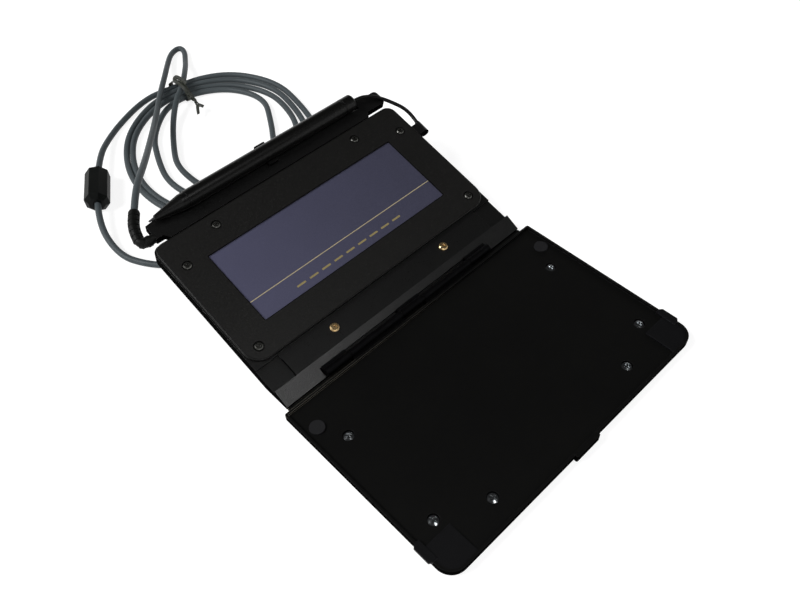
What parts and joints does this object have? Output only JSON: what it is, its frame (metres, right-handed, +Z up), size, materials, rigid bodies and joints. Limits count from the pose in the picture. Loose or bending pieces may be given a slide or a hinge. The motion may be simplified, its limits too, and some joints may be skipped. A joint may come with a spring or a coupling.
{
  "type": "signature pad",
  "caption": "Tilted signature pad with a hinged protective cover open in front, fold-out rear feet, a tethered pen in a tray and a coiled cable with a filter bead.",
  "frame": {"origin": "middle of the object's footprint on the desk, measured without the free cords", "axes": "+X along the cover hinge to the signer's right, +Y from the signer towards the pen tray, +Z up"},
  "size_m": [0.1666, 0.3844, 0.0429],
  "materials": {
    "housing_plastic": "fine-grained black",
    "bezel_metal": "black satin paint",
    "screen_glass": "etched blue-grey",
    "display": "dull grey",
    "circuit_board": "green solder mask",
    "steel_screws": "bright",
    "dark_screws": "black oxide",
    "hinge_steel": "black",
    "contacts": "bright",
    "black_rubber": "matt",
    "pen_plastic": "satin black",
    "pen_point": "worn grey",
    "cable_grey": "soft grey jacket",
    "ferrite_case": "black",
    "plug_metal": "plated"
  },
  "bodies": {
    "base": {"base_tray": "housing_plastic", "face_plate": "bezel_metal", "screen_glass": "screen_glass", "display_module": "display", "pen_sensor_board": "circuit_board", "controller_board": "circuit_board", "bezel_screws": "dark_screws", "contact_studs": "contacts", "base_hinge_leaf": "hinge_steel", "hinge_pin": "hinge_steel", "pen_tray": "housing_plastic", "pen_clip": "housing_plastic", "tether_anchor": "black_rubber", "front_feet": "black_rubber", "foot_pins": "hinge_steel", "cable_boot": "black_rubber", "cord_lead": "cable_grey", "cord_coil": "cable_grey", "cord_tail": "cable_grey", "ferrite_bead": "ferrite_case", "twist_tie": "ferrite_case", "plug_body": "black_rubber", "plug_shell": "plug_metal", "pen_tether": "black_rubber"},
    "left_foot": {"rear_foot_left": "housing_plastic", "foot_pad_left": "black_rubber"},
    "right_foot": {"rear_foot_right": "housing_plastic", "foot_pad_right": "black_rubber"},
    "cover": {"cover_back": "housing_plastic", "cover_panel": "housing_plastic", "cover_screws": "steel_screws", "cover_bumpers": "black_rubber", "cover_feet": "black_rubber", "cover_hinge_leaf": "hinge_steel", "corner_latch_left": "housing_plastic", "corner_latch_right": "housing_plastic", "cover_pull_tab": "housing_plastic"},
    "pen": {"pen_barrel": "pen_plastic", "pen_cap": "pen_plastic", "pen_nose": "pen_plastic", "pen_tip": "pen_point"}
  },
  "joints": [
    {"name": "cover_hinge", "type": "hinge", "parent": "base", "child": "cover", "pos_m": [-0.00138, -0.00463, 0.0062], "axis": [-1, 0, 0], "range_deg": [0, 164.1]},
    {"name": "rear_foot_right_fold", "type": "hinge", "parent": "base", "child": "right_foot", "pos_m": [0.05862, 0.07873, 0.02236], "axis": [0, 0.9617, 0.274], "range_deg": [0, 95]},
    {"name": "rear_foot_left_fold", "type": "hinge", "parent": "base", "child": "left_foot", "pos_m": [-0.06138, 0.07873, 0.02236], "axis": [0, -0.9617, -0.274], "range_deg": [0, 95]},
    {"name": "pen_lift", "type": "slide", "parent": "base", "child": "pen", "axis": [0, -0.274, 0.9617], "range_m": [0, 0.03], "deforming": ["pen_tether"]}
  ]
}
